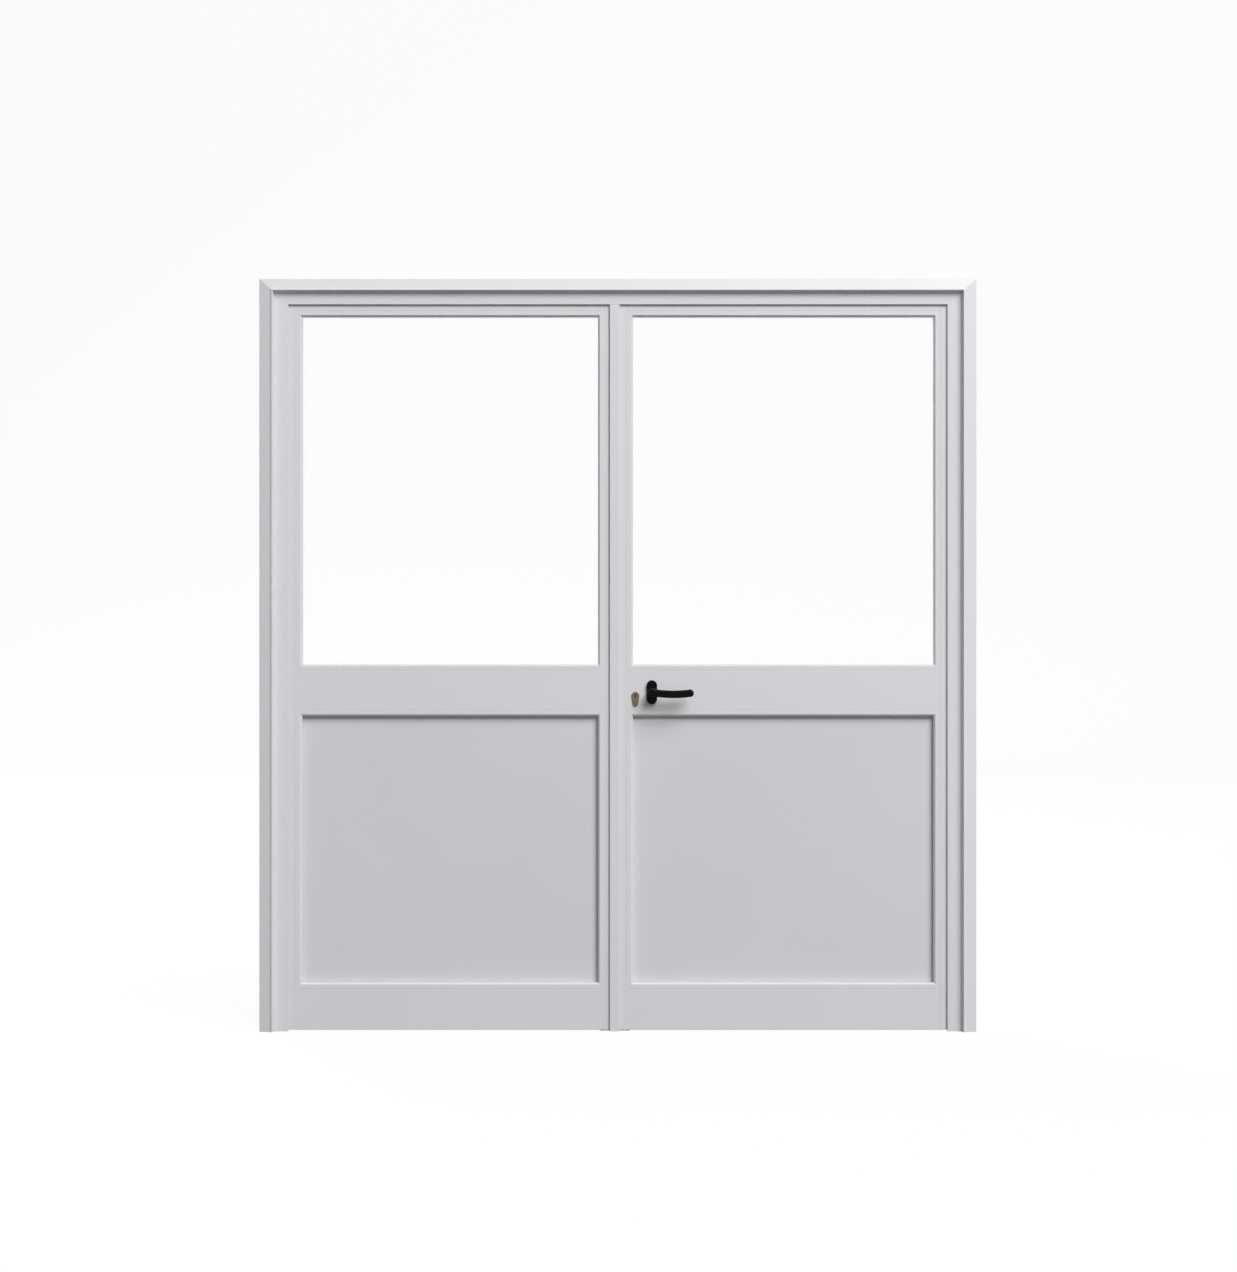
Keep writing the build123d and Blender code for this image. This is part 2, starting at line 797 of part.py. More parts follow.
def make_front_rose():
    """Front rose: a rounded plate, bored for the lever's neck."""
    outline = Pos(lever_across, lever_height) * SlotOverall(rose_height, rose_width, rotation=90)
    rose = facing(outline, leaf_front - rose_thickness, leaf_front)
    rose = fillet(rose.faces().sort_by(Axis.Y)[0].edges(), rose_edge_round)
    bore = rod_along_y(
        lever_neck_radius + lever_gap,
        lever_across,
        lever_height,
        leaf_front - rose_thickness - overrun,
        leaf_front + overrun,
    )
    return rose - bore


def make_lever_bolt():
    """Bolt bar with a rack on its underside, over the pinion."""
    bottom, top = lever_bolt_span()
    pitch = math.pi * gear_module
    slope = math.tan(math.radians(pressure_angle))
    half_tooth = pitch / 4 - gear_backlash / 2
    tip = rack_line - gear_module * rack_addendum_share
    at_tip = half_tooth - (rack_line - tip) * slope
    at_root = half_tooth + (bottom - rack_line) * slope
    first = lever_across - pitch * (rack_pitches // 3 - 1 / 2)
    points = [(bolt_rest, bottom)]
    for tooth in range(rack_pitches):
        middle = first + tooth * pitch
        points += [
            (middle - at_root, bottom),
            (middle - at_tip, tip),
            (middle + at_tip, tip),
            (middle + at_root, bottom),
        ]
    end = first + rack_pitches * pitch
    points += [(end, bottom), (end, top), (bolt_rest, top)]
    return facing(face_of(points), -lever_bolt_width / 2, lever_bolt_width / 2)


def cam_pin_place():
    """Where the cam's pin stands at rest, across and up."""
    lean = math.radians(cam_rest_lean)
    return (
        cylinder_across + cam_pin_reach * math.sin(lean),
        cylinder_height + cam_pin_reach * math.cos(lean),
    )


def make_dead_bolt():
    """Dead bolt bar with a notch in its underside for the cam."""
    half = dead_bolt_width / 2
    end = cylinder_across + dead_bolt_tail
    bar = block(bolt_rest, end, -half, half, dead_bolt_bottom, dead_bolt_bottom + dead_bolt_height)
    notch_middle, _ = cam_pin_place()
    notch_half = cam_pin_radius + cam_notch_gap
    notch_top = dead_bolt_bottom + cam_notch_depth
    notch = block(
        notch_middle - notch_half,
        notch_middle + notch_half,
        -half - overrun,
        half + overrun,
        dead_bolt_bottom - overrun,
        notch_top,
    )
    return bar - notch


def cylinder_outline(margin):
    """Pear-shaped outline of the cylinder, grown by a margin."""
    round_part = Circle(cylinder_radius + margin)
    stem_length = cylinder_drop - cylinder_radius - cylinder_stem_radius
    stem_end = Pos(0, -stem_length) * Circle(cylinder_stem_radius + margin)
    stem = Pos(0, -stem_length / 2) * Rectangle((cylinder_stem_radius + margin) * 2, stem_length)
    return Pos(cylinder_across, cylinder_height) * (round_part + stem + stem_end)


def make_cylinder_body():
    """Cylinder body, bored for the plug and cut open in the middle for the cam."""
    reach = leaf_depth / 2 + cylinder_proud
    body = facing(cylinder_outline(0), -reach, reach)
    bore = Pos(cylinder_across, cylinder_height) * Circle(plug_radius + running_gap)
    body -= facing(bore, -reach - overrun, reach + overrun)
    half_cam = cam_width / 2 + cam_gap
    sweep = cylinder_radius + cam_gap
    return body - block(
        cylinder_across - sweep,
        cylinder_across + sweep,
        -half_cam,
        half_cam,
        cylinder_height - sweep,
        cylinder_height + sweep,
    )


def make_cylinder_plug():
    """Plug with its keyways and the cam that throws the dead bolt."""
    reach = leaf_depth / 2 + cylinder_proud - plug_setback
    place = Pos(cylinder_across, cylinder_height)
    plug = facing(place * Circle(plug_radius), -reach, reach)
    arm = Pos(0, cam_pin_reach / 2) * Rectangle(cam_pin_radius * 2, cam_pin_reach)
    arm += Pos(0, cam_pin_reach) * Circle(cam_pin_radius)
    cam = Circle(cylinder_radius) + Rot(Z=-cam_rest_lean) * arm
    plug += facing(place * cam, -cam_width / 2, cam_width / 2)
    keyway = place * Rectangle(keyway_width, keyway_height)
    plug -= facing(keyway, -reach - overrun, -reach + keyway_depth)
    return plug - facing(keyway, reach - keyway_depth, reach + overrun)


def make_escutcheons():
    """Tapered cover plates round the cylinder, front and back."""
    head = Circle(cylinder_radius + escutcheon_margin)
    tail_drop = cylinder_drop - cylinder_radius - cylinder_stem_radius + escutcheon_tail
    tail = Pos(0, -tail_drop) * Circle(cylinder_stem_radius + escutcheon_margin)
    outline = Pos(cylinder_across, cylinder_height) * make_hull(head.edges() + tail.edges())
    plate = facing(outline, leaf_front - escutcheon_wall, leaf_front)
    plate = fillet(plate.faces().sort_by(Axis.Y)[0].edges(), escutcheon_round)
    front = plate - facing(cylinder_outline(running_gap), leaf_front - leaf_depth, leaf_back)
    return [front, front.mirror(Plane.XZ)]


def lock_holes(y0, y1, spindle_radius):
    """Room for the cylinder and for the spindle or the pinion's hub, between two depths."""
    spindle = Pos(lever_across, lever_height) * Circle(spindle_radius)
    return [facing(cylinder_outline(case_gap), y0, y1), facing(spindle, y0, y1)]


def case_outline(inset):
    """The lock case's outline in X and Z, drawn in by an inset."""
    bottom = lever_height - case_below + inset
    top = lever_height + case_above - inset
    width = case_length - inset * 2
    return Pos((case_start + case_end) / 2, (bottom + top) / 2) * Rectangle(width, top - bottom)


def make_lock_case():
    """Lock case, open towards its cover, slotted for the bolts."""
    front = case_wall - case_half_depth
    shell = facing(case_outline(0), front, case_half_depth)
    shell -= facing(case_outline(case_wall), front - overrun, case_half_depth - case_wall)
    shell -= lock_holes(front, case_half_depth + overrun, pinion_hub_radius + running_gap)
    return shell - bolt_slots(case_start - overrun, case_start + case_wall * 2)


def make_lock_cover():
    """Cover plate on the front of the lock case."""
    back = case_wall - case_half_depth
    plate = facing(case_outline(0), -case_half_depth, back)
    return plate - lock_holes(-leaf_depth, back + overrun, pinion_hub_radius + running_gap)


def faceplate_block(half_width_across):
    """The lock faceplate's place in the stile's outer wall."""
    middle = (dead_bolt_bottom + lever_bolt_span()[1]) / 2
    return block(
        right_meeting_edge,
        right_meeting_edge + faceplate_wall,
        -half_width_across,
        half_width_across,
        middle - faceplate_height / 2,
        middle + faceplate_height / 2,
    )


def make_faceplate():
    """Lock faceplate, flush in the stile's edge."""
    return faceplate_block(faceplate_width / 2) - bolt_slots(
        right_meeting_edge - overrun, right_meeting_edge + overrun
    )


def flush_rod_ends(upper):
    """Lowest and highest places of one flush bolt's rod, at rest."""
    if upper:
        return leaf_top - flush_rod_gap - flush_rod_length, leaf_top - flush_rod_gap
    return floor_gap + flush_rod_gap, floor_gap + flush_rod_gap + flush_rod_length


def flush_tab_span(upper):
    """Lowest and highest places of one flush bolt's thumb tab, at rest."""
    low, high = flush_rod_ends(upper)
    return (low, low + flush_tab_height) if upper else (high - flush_tab_height, high)


def make_flush_bolt(upper):
    """Flush bolt: a round rod with a thumb tab near the leaf's edge."""
    low, high = flush_rod_ends(upper)
    tab_low, tab_high = flush_tab_span(upper)
    half = flush_tab_width / 2
    rod = rod_along_z(flush_rod_radius, flush_across, 0, low, high)
    return rod + block(flush_across, left_meeting_edge - flush_slot_gap, -half, half, tab_low, tab_high)


def flush_plate_block(upper):
    """One flush bolt plate's place in the stile's outer wall."""
    tab_low, tab_high = flush_tab_span(upper)
    middle = (tab_low + tab_high) / 2
    half = flush_plate_width / 2
    return block(
        left_meeting_edge - leaf_wall,
        left_meeting_edge,
        -half,
        half,
        middle - flush_plate_height / 2,
        middle + flush_plate_height / 2,
    )


def make_flush_plates():
    """Flush bolt plates, slotted for the travel of the thumb tabs."""
    plates = []
    half = flush_tab_width / 2 + flush_slot_gap
    for upper in (True, False):
        tab_low, tab_high = flush_tab_span(upper)
        rise = flush_throw if upper else 0
        drop = 0 if upper else flush_throw
        slot = block(
            left_meeting_edge - overrun,
            left_meeting_edge + overrun,
            -half,
            half,
            tab_low - drop - flush_slot_gap,
            tab_high + rise + flush_slot_gap,
        )
        plates.append(flush_plate_block(upper) - slot)
    return plates


def make_stile_caps():
    """End caps of the left meeting stile, which guide the flush bolts."""
    inset = leaf_wall + stile_cap_gap
    section = Rectangle(left_meeting_stile - inset * 2, leaf_depth - inset * 2)
    section -= Circle(flush_rod_radius + flush_rod_gap)
    section = Pos(flush_across, 0) * section
    return [
        upright(section, leaf_top - stile_cap_height, leaf_top),
        upright(section, floor_gap, floor_gap + stile_cap_height),
    ]


def make_leaf(leaf):
    """All pieces that both leaves have, by node name."""
    low_stile, high_stile = make_stiles(leaf)
    hinge_post, meeting_post = (low_stile, high_stile) if leaf is left_leaf else (high_stile, low_stile)
    pieces = {
        "hinge_stile": hinge_post,
        "meeting_stile": meeting_post,
        "spigots": make_spigots(leaf),
        "glass": make_glass(leaf),
        "spacer": make_spacer(leaf),
        "panel": make_panel(leaf),
        "gaskets": make_infill_gaskets(leaf),
        "setting_blocks": make_setting_blocks(leaf),
        "glass_beads": make_beads(leaf, "glass"),
        "panel_beads": make_beads(leaf, "panel"),
        "hinge_leaves": make_leaf_hinge_leaves(leaf),
    }
    for rail in rail_spans:
        pieces[rail] = make_rail(leaf, rail)
    return {f"{leaf.name}_{name}": piece for name, piece in pieces.items()}


def make_nodes():
    """Every node of the door, by name."""
    jamb = make_left_jamb()
    front_lever = make_front_lever()
    front_rose = make_front_rose()
    nodes = {
        "frame_jamb_left": jamb,
        "frame_jamb_right": jamb.mirror(Plane.YZ),
        "frame_head": make_head(),
        "frame_cleats": make_cleats(),
        "frame_gasket": make_frame_gasket(),
        "centre_post": make_post(),
        "post_plates": make_post_plates(),
        "post_gasket": make_post_gasket(),
        "bolt_keep": make_bolt_keep(),
        "hinge_frame_leaves": make_frame_hinge_leaves(),
        "hinge_pins": make_hinge_pins(),
        "lock_faceplate": make_faceplate(),
        "lock_case": make_lock_case(),
        "lock_cover": make_lock_cover(),
        "cylinder_body": make_cylinder_body(),
        "cylinder_plug": make_cylinder_plug(),
        "escutcheons": make_escutcheons(),
        "lever_roses": [front_rose, front_rose.mirror(Plane.XZ)],
        "lever_front": front_lever,
        "lever_back": front_lever.mirror(Plane.XZ),
        "lever_spindle": make_spindle(),
        "lever_pinion": make_pinion(),
        "lever_bolt": make_lever_bolt(),
        "dead_bolt": make_dead_bolt(),
        "flush_plates": make_flush_plates(),
        "flush_bolt_upper": make_flush_bolt(upper=True),
        "flush_bolt_lower": make_flush_bolt(upper=False),
        "left_stile_caps": make_stile_caps(),
    }
    nodes.update(make_leaf(left_leaf))
    nodes.update(make_leaf(right_leaf))

    # Cut-outs for the lock and the bolts
    wall_reach = leaf_wall * 2
    left_line = left_meeting_edge
    nodes["left_meeting_stile"] -= bolt_slots(left_line - wall_reach, left_line + overrun)
    nodes["left_meeting_stile"] -= [flush_plate_block(upper) for upper in (True, False)]
    stile_line = right_leaf.low_line
    nodes["right_meeting_stile"] -= faceplate_block(faceplate_width / 2)
    nodes["right_meeting_stile"] -= bolt_slots(stile_line - wall_reach, stile_line + overrun)
    nodes["right_mid_rail"] -= lock_holes(-leaf_depth, leaf_depth, spindle_hole_radius)
    return nodes


def write_nodes(nodes):
    """Writes one file for each node, with repeated pieces as separate solids."""
    os.makedirs("parts", exist_ok=True)
    for name, piece in nodes.items():
        shape = Compound(children=list(piece)) if isinstance(piece, list) else piece
        export_step(shape, os.path.join("parts", f"{name}.step"))


write_nodes(make_nodes())
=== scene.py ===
"""Dresses the half-glazed double door: its finishes, fixings and trim, and the studio round it.

Metres, +Z up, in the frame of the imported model. The door's front looks along -Y.
"""
import logging
import math
from dataclasses import dataclass, field
from enum import Enum

import bmesh
import bpy
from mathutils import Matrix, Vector


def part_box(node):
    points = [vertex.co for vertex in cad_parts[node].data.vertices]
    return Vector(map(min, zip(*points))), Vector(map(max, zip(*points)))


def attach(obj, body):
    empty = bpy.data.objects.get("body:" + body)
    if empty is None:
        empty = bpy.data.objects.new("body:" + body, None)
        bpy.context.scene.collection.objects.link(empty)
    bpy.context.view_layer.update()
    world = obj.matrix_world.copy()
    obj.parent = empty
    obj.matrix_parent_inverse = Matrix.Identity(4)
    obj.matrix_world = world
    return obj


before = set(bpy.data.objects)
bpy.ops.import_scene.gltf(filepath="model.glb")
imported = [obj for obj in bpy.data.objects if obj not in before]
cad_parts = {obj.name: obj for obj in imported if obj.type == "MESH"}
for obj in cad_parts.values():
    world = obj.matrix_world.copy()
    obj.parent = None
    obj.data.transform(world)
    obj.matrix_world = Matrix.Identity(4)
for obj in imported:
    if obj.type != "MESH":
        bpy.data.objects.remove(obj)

log = logging.getLogger("double_door")
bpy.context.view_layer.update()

Colour = tuple[float, float, float]
Point = tuple[float, float, float]
Span = tuple[float, float]
Materials = dict[str, bpy.types.Material]

WHITE: Colour = (1.0, 1.0, 1.0)

# Sockets of a colour mix node, which share their names with those of its other kinds.
MIX_SHARE, MIX_FIRST, MIX_SECOND, MIX_RESULT = 0, 6, 7, 2

# Sockets of a random number, of which the same is true.
RANDOM_MOST, RANDOM_VALUE = 3, 1

# How much the specks add to the ripple of sprayed coat.
SPECK_SHARE = 0.4

# Spans of the angles and noises that effects and finishes read, and a patch's least strength.
CORNER_SPAN: Span = (0.99, 0.80)
RUB_SPAN: Span = (0.42, 0.62)
RUB_LEAST = 0.2
UPWARD_SPAN: Span = (0.3, 0.95)
DUST_SPAN: Span = (0.35, 0.7)
DUST_LEAST = 0.3
TONE_SPAN: Span = (0.3, 0.7)
WIDE_SPAN: Span = (0.2, 0.8)
SKIN_SPAN: Span = (0.25, 0.75)
SMEAR_SPAN: Span = (0.5, 0.8)


class Body(Enum):
    """The moving bodies that dressed pieces ride on."""

    FRAME = "frame"
    LEFT_LEAF = "left_leaf"
    RIGHT_LEAF = "right_leaf"
    PLUG = "cylinder_plug"


class Facing(Enum):
    """Turn that takes a screw head from looking up to looking along an axis."""

    UP = (0.0, 0.0, 0.0)
    DOWN = (math.pi, 0.0, 0.0)
    BACK = (-math.pi / 2, 0.0, 0.0)
    RIGHT = (0.0, math.pi / 2, 0.0)
    LEFT = (0.0, -math.pi / 2, 0.0)


class Grain(Enum):
    """Stretch of a brushed metal's grain: small along the direction that it runs."""

    ACROSS = (0.02, 1.0, 1.0)
    UPRIGHT = (1.0, 1.0, 0.02)


class NodeSketch:
    """Adds nodes to one node tree and joins them."""

    def __init__(self, tree: bpy.types.NodeTree) -> None:
        """Keeps the tree that the nodes go into."""
        self.tree = tree

    def add(self, kind: str, **inputs: object) -> bpy.types.Node:
        """Adds a node and fills its inputs.

        Args:
            kind: The node's type name.
            **inputs: Values or output sockets, by the input's name with spaces as underscores.

        Returns:
            The new node.
        """
        node = self.tree.nodes.new(kind)
        for name, value in inputs.items():
            self.feed(node.inputs[name.replace("_", " ")], value)
        return node

    def feed(self, socket: bpy.types.NodeSocket, value: object) -> None:
        """Sets an input, or links it where the value is an output socket.

        Args:
            socket: The input.
            value: A plain value or an output socket.
        """
        if isinstance(value, bpy.types.NodeSocket):
            self.tree.links.new(value, socket)
        else:
            socket.default_value = value

    def math(self, operation: str, *values: object) -> bpy.types.NodeSocket:
        """Adds a math node.

        Args:
            operation: The math node's operation.
            *values: Numbers or output sockets, in the order of the node's inputs.

        Returns:
            The node's output.
        """
        node = self.tree.nodes.new("ShaderNodeMath")
        node.operation = operation
        for socket, value in zip(node.inputs, values):
            self.feed(socket, value)
        return node.outputs[0]

    def mix(self, share: object, first: object, second: object) -> bpy.types.NodeSocket:
        """Mixes two colours.

        Args:
            share: How much of the second colour, as a number or an output socket.
            first: The first colour, as four numbers or an output socket.
            second: The second colour, as four numbers or an output socket.

        Returns:
            The mixed colour.
        """
        node = self.tree.nodes.new("ShaderNodeMix")
        node.data_type = "RGBA"
        self.feed(node.inputs[MIX_SHARE], share)
        self.feed(node.inputs[MIX_FIRST], first)
        self.feed(node.inputs[MIX_SECOND], second)
        return node.outputs[MIX_RESULT]

    def span(self, value: bpy.types.NodeSocket, low: float, high: float,
             out_low: object, out_high: object) -> bpy.types.NodeSocket:
        """Maps a value from one span to another, held inside it.

        Args:
            value: The value to map.
            low: Where the span starts.
            high: Where the span ends.
            out_low: The result at the start.
            out_high: The result at the end.

        Returns:
            The mapped value.
        """
        node = self.tree.nodes.new("ShaderNodeMapRange")
        for socket, item in zip(node.inputs, (value, low, high, out_low, out_high)):
            self.feed(socket, item)
        return node.outputs[0]


def rgba(colour: Colour) -> tuple[float, float, float, float]:
    """A colour with full alpha."""
    return (*colour, 1.0)


class EffectGroup:
    """A shader node group that several finishes share, with named inputs and outputs."""

    def __init__(self, name: str, inputs: dict[str, float], outputs: list[str]) -> None:
        """Makes the group and its sockets.

        Args:
            name: The group's name.
            inputs: Each input's name and its first value.
            outputs: The outputs' names.
        """
        self.tree = bpy.data.node_groups.new(name, "ShaderNodeTree")
        self.sketch = NodeSketch(self.tree)
        for label, value in inputs.items():
            socket = self.tree.interface.new_socket(
                label, in_out="INPUT", socket_type="NodeSocketFloat")
            socket.default_value = value
        for label in outputs:
            self.tree.interface.new_socket(label, in_out="OUTPUT", socket_type="NodeSocketFloat")
        self.given = self.sketch.add("NodeGroupInput").outputs
        self.result = self.sketch.add("NodeGroupOutput").inputs
        self.place = self.sketch.add("ShaderNodeTexCoord").outputs["Object"]

    def use(self, sketch: NodeSketch, **inputs: float) -> bpy.types.Node:
        """Places the group in a material.

        Args:
            sketch: The material's own sketch.
            **inputs: The group's inputs, by name with spaces as underscores.

        Returns:
            The group node.
        """
        node = sketch.tree.nodes.new("ShaderNodeGroup")
        node.node_tree = self.tree
        for name, value in inputs.items():
            node.inputs[name.replace("_", " ")].default_value = value
        return node


def make_orange_peel() -> EffectGroup:
    """Fine ripple of sprayed powder coat, with a slow drift of its tone.

    Returns:
        The group, with the outputs Height and Drift.
    """
    group = EffectGroup("Orange Peel", {"Scale": 420.0, "Drift Scale": 1.6}, ["Height", "Drift"])
    sketch, given = group.sketch, group.given
    ripple = sketch.add("ShaderNodeTexNoise", Vector=group.place, Scale=given["Scale"], Detail=2.0)
    speck = sketch.add("ShaderNodeTexVoronoi", Vector=group.place, Scale=given["Scale"])
    speck.feature = "SMOOTH_F1"
    height = sketch.math("MULTIPLY_ADD", speck.outputs["Distance"], SPECK_SHARE,
                         ripple.outputs["Fac"])
    drift = sketch.add("ShaderNodeTexNoise", Vector=group.place, Scale=given["Drift Scale"],
                       Detail=4.0)
    sketch.feed(group.result["Height"], height)
    sketch.feed(group.result["Drift"], drift.outputs["Fac"])
    return group


def make_edge_rub() -> EffectGroup:
    """Where hands and cloths rub an edge bright: rounded corners of a solid, broken up by noise.

    Returns:
        The group, with the output Mask.
    """
    group = EffectGroup("Edge Rub", {"Reach": 0.001, "Breakup Scale": 60.0}, ["Mask"])
    sketch = group.sketch
    rounded = sketch.add("ShaderNodeBevel", Radius=group.given["Reach"])
    rounded.samples = 4
    flat = sketch.add("ShaderNodeNewGeometry")
    turn = sketch.add("ShaderNodeVectorMath")
    turn.operation = "DOT_PRODUCT"
    sketch.feed(turn.inputs[0], rounded.outputs["Normal"])
    sketch.feed(turn.inputs[1], flat.outputs["Normal"])
    corner = sketch.span(turn.outputs["Value"], *CORNER_SPAN, 0.0, 1.0)
    noise = sketch.add("ShaderNodeTexNoise", Vector=group.place, Scale=group.given["Breakup Scale"],
                       Detail=5.0)
    patch = sketch.span(noise.outputs["Fac"], *RUB_SPAN, RUB_LEAST, 1.0)
    sketch.feed(group.result["Mask"], sketch.math("MULTIPLY", corner, patch))
    return group


def make_settled_dust() -> EffectGroup:
    """Dust that lies on faces that look up, in soft patches.

    Returns:
        The group, with the output Mask.
    """
    group = EffectGroup("Settled Dust", {"Amount": 0.3, "Patch Scale": 24.0}, ["Mask"])
    sketch = group.sketch
    surface = sketch.add("ShaderNodeNewGeometry")
    split = sketch.add("ShaderNodeSeparateXYZ", Vector=surface.outputs["Normal"])
    upward = sketch.span(split.outputs["Z"], *UPWARD_SPAN, 0.0, 1.0)
    noise = sketch.add("ShaderNodeTexNoise", Vector=group.place, Scale=group.given["Patch Scale"],
                       Detail=6.0)
    patch = sketch.span(noise.outputs["Fac"], *DUST_SPAN, DUST_LEAST, 1.0)
    lying = sketch.math("MULTIPLY", upward, patch)
    sketch.feed(group.result["Mask"], sketch.math("MULTIPLY", lying, group.given["Amount"]))
    return group


def make_brushed_grain() -> EffectGroup:
    """Drawn or brushed lines of bare metal.

    Returns:
        The group, with the output Line.
    """
    inputs = {"Scale": 900.0, "Along X": 1.0, "Along Y": 1.0, "Along Z": 1.0}
    group = EffectGroup("Brushed Grain", inputs, ["Line"])
    sketch = group.sketch
    stretch = sketch.add("ShaderNodeCombineXYZ", X=group.given["Along X"], Y=group.given["Along Y"],
                         Z=group.given["Along Z"])
    laid = sketch.add("ShaderNodeVectorMath")
    laid.operation = "MULTIPLY"
    sketch.feed(laid.inputs[0], group.place)
    sketch.feed(laid.inputs[1], stretch.outputs[0])
    line = sketch.add("ShaderNodeTexNoise", Vector=laid.outputs[0], Scale=group.given["Scale"],
                      Detail=4.0)
    sketch.feed(group.result["Line"], line.outputs["Fac"])
    return group


@dataclass
class Effects:
    """The shared effect groups, each built once."""

    peel: EffectGroup = field(default_factory=make_orange_peel)
    rub: EffectGroup = field(default_factory=make_edge_rub)
    dust: EffectGroup = field(default_factory=make_settled_dust)
    grain: EffectGroup = field(default_factory=make_brushed_grain)


def new_material(name: str) -> tuple[NodeSketch, bpy.types.Node, bpy.types.Material]:
    """Starts a material.

    Args:
        name: The material's name.

    Returns:
        The sketch of its nodes, its shader and the material.
    """
    material = bpy.data.materials.new(name)
    material.use_nodes = True
    sketch = NodeSketch(material.node_tree)
    return sketch, material.node_tree.nodes["Principled BSDF"], material


def raise_bump(sketch: NodeSketch, shader: bpy.types.Node, height: bpy.types.NodeSocket,
               strength: float, distance: float) -> None:
    """Gives a shader a bump.

    Args:
        sketch: The material's sketch.
        shader: The shader that the bump goes to.
        height: The height to raise.
        strength: How strongly it shows.
        distance: How deep it is.
    """
    bump = sketch.add("ShaderNodeBump", Strength=strength, Distance=distance, Height=height)
    sketch.feed(shader.inputs["Normal"], bump.outputs["Normal"])


def spread(middle_value: float, span: Span) -> Span:
    """The ends of a span that lies about a value."""
    return middle_value + span[0], middle_value + span[1]


@dataclass(frozen=True)
class CoatFinish:
    """Sprayed powder coat on metal."""

    name: str
    colour: Colour
    drift_colour: Colour
    roughness: float
    coat: float
    peel_scale: float
    peel_depth: float
    peel_strength: float = 0.35
    coat_roughness: float = 0.25
    gloss_spread: Span = (-0.03, 0.05)
    dust_colour: Colour = (0.55, 0.53, 0.50)
    dust_amount: float = 0.25
    dust_roughness: float = 0.4

    def material(self, effects: Effects) -> bpy.types.Material:
        """Builds the finish.

        Args:
            effects: The shared effect groups.

        Returns:
            The material.
        """
        sketch, shader, material = new_material(self.name)
        peel = effects.peel.use(sketch, Scale=self.peel_scale)
        dust = effects.dust.use(sketch, Amount=self.dust_amount)
        drift = sketch.span(peel.outputs["Drift"], *TONE_SPAN, 0.0, 1.0)
        toned = sketch.mix(drift, rgba(self.colour), rgba(self.drift_colour))
        dusty = sketch.mix(dust.outputs["Mask"], toned, rgba(self.dust_colour))
        sketch.feed(shader.inputs["Base Color"], dusty)
        gloss = sketch.span(peel.outputs["Drift"], *WIDE_SPAN,
                            *spread(self.roughness, self.gloss_spread))
        dulled = sketch.math("MULTIPLY_ADD", dust.outputs["Mask"], self.dust_roughness, gloss)
        sketch.feed(shader.inputs["Roughness"], dulled)
        shader.inputs["Coat Weight"].default_value = self.coat
        shader.inputs["Coat Roughness"].default_value = self.coat_roughness
        raise_bump(sketch, shader, peel.outputs["Height"], self.peel_strength, self.peel_depth)
        return material


@dataclass(frozen=True)
class MetalFinish:
    """Bare metal with a brushed or drawn grain and rubbed edges."""

    name: str
    colour: Colour
    line_colour: Colour
    rubbed_colour: Colour
    roughness: float
    grain: Grain
    grain_scale: float = 900.0
    grain_strength: float = 0.25
    grain_depth: float = 0.00004
    gloss_spread: Span = (-0.06, 0.08)
    rub_reach: float = 0.0008

    def material(self, effects: Effects) -> bpy.types.Material:
        """Builds the finish.

        Args:
            effects: The shared effect groups.

        Returns:
            The material.
        """
        sketch, shader, material = new_material(self.name)
        along_x, along_y, along_z = self.grain.value
        grain = effects.grain.use(sketch, Scale=self.grain_scale, Along_X=along_x, Along_Y=along_y,
                                  Along_Z=along_z)
        rub = effects.rub.use(sketch, Reach=self.rub_reach)
        line = sketch.span(grain.outputs["Line"], *TONE_SPAN, 0.0, 1.0)
        toned = sketch.mix(line, rgba(self.colour), rgba(self.line_colour))
        worn = sketch.mix(rub.outputs["Mask"], toned, rgba(self.rubbed_colour))
        sketch.feed(shader.inputs["Base Color"], worn)
        shader.inputs["Metallic"].default_value = 1.0
        gloss = sketch.span(grain.outputs["Line"], *WIDE_SPAN,
                            *spread(self.roughness, self.gloss_spread))
        sketch.feed(shader.inputs["Roughness"], gloss)
        raise_bump(sketch, shader, grain.outputs["Line"], self.grain_strength, self.grain_depth)
        return material


@dataclass(frozen=True)
class MouldedFinish:
    """Moulded plastic or rubber, or a satin black coat, with a fine skin."""

    name: str
    colour: Colour
    rubbed_colour: Colour
    roughness: float
    skin_scale: float
    skin_depth: float
    skin_strength: float = 0.3
    drift_scale: float = 14.0
    gloss_spread: Span = (-0.06, 0.08)
    rub_reach: float = 0.001
    rub_polish: float = -0.12
    dust_colour: Colour = (0.30, 0.29, 0.28)
    dust_amount: float = 0.2
    specular: float = 0.5

    def material(self, effects: Effects) -> bpy.types.Material:
        """Builds the finish.

        Args:
            effects: The shared effect groups.

        Returns:
            The material.
        """
        sketch, shader, material = new_material(self.name)
        peel = effects.peel.use(sketch, Scale=self.skin_scale, Drift_Scale=self.drift_scale)
        rub = effects.rub.use(sketch, Reach=self.rub_reach)
        dust = effects.dust.use(sketch, Amount=self.dust_amount)
        rubbed = sketch.mix(rub.outputs["Mask"], rgba(self.colour), rgba(self.rubbed_colour))
        dusty = sketch.mix(dust.outputs["Mask"], rubbed, rgba(self.dust_colour))
        sketch.feed(shader.inputs["Base Color"], dusty)
        gloss = sketch.span(peel.outputs["Drift"], *SKIN_SPAN,
                            *spread(self.roughness, self.gloss_spread))
        polished = sketch.math("MULTIPLY_ADD", rub.outputs["Mask"], self.rub_polish, gloss)
        sketch.feed(shader.inputs["Roughness"], polished)
        shader.inputs["Specular IOR Level"].default_value = self.specular
        raise_bump(sketch, shader, peel.outputs["Height"], self.skin_strength, self.skin_depth)
        return material


